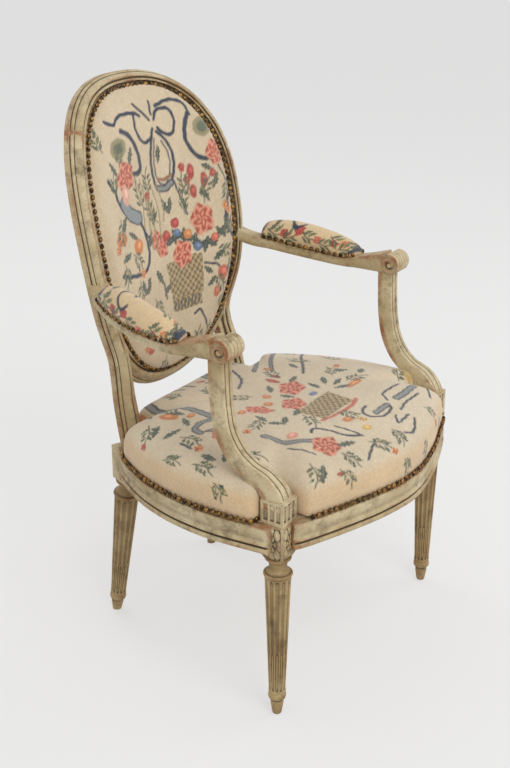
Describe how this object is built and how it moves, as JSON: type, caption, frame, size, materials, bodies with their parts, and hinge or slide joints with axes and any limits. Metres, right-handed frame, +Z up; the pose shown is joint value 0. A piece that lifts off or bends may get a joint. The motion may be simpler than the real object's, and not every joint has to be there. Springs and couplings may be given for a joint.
{
  "type": "upholstered open armchair",
  "caption": "Open armchair with an oval moulded back, padded arms ending in volutes, a bowed upholstered seat and turned fluted legs, in worn cream paint with a floral tapestry cover.",
  "frame": {"origin": "on the floor under the middle of the chair's box", "axes": "+Z up, the chair faces -Y, the sitter's left is +X"},
  "size_m": [0.5866, 0.6042, 0.9337],
  "materials": {
    "painted_wood": "worn cream-grey paint over an orange-red ground, rubbed through on the edges",
    "leg_paint": "worn ochre-cream paint, brown in the flutes",
    "bare_wood": "unpainted beech, aged",
    "webbing": "woven jute webbing",
    "hessian": "plain hessian",
    "tapestry": "woven floral tapestry on a beige ground",
    "back_cloth": "plain beige cloth"
  },
  "bodies": {
    "root": {"front_leg_left": "leg_paint", "front_leg_right": "leg_paint", "rear_leg_left": "painted_wood", "rear_leg_right": "painted_wood", "crest_rail": "painted_wood", "lower_back_rail": "painted_wood", "crest_pins": "bare_wood", "front_seat_rail": "painted_wood", "side_seat_rail_left": "painted_wood", "side_seat_rail_right": "painted_wood", "back_seat_rail": "painted_wood", "arm_left": "painted_wood", "arm_right": "painted_wood", "arm_support_left": "painted_wood", "arm_support_right": "painted_wood", "front_corner_blocks": "bare_wood", "rear_corner_blocks": "bare_wood", "seat_webbing": "webbing", "seat_hessian": "hessian", "back_hessian": "hessian", "seat_pad": "tapestry", "back_pad": "tapestry", "arm_pad_left": "tapestry", "arm_pad_right": "tapestry", "back_outside_cover": "back_cloth"}
  },
  "joints": []
}
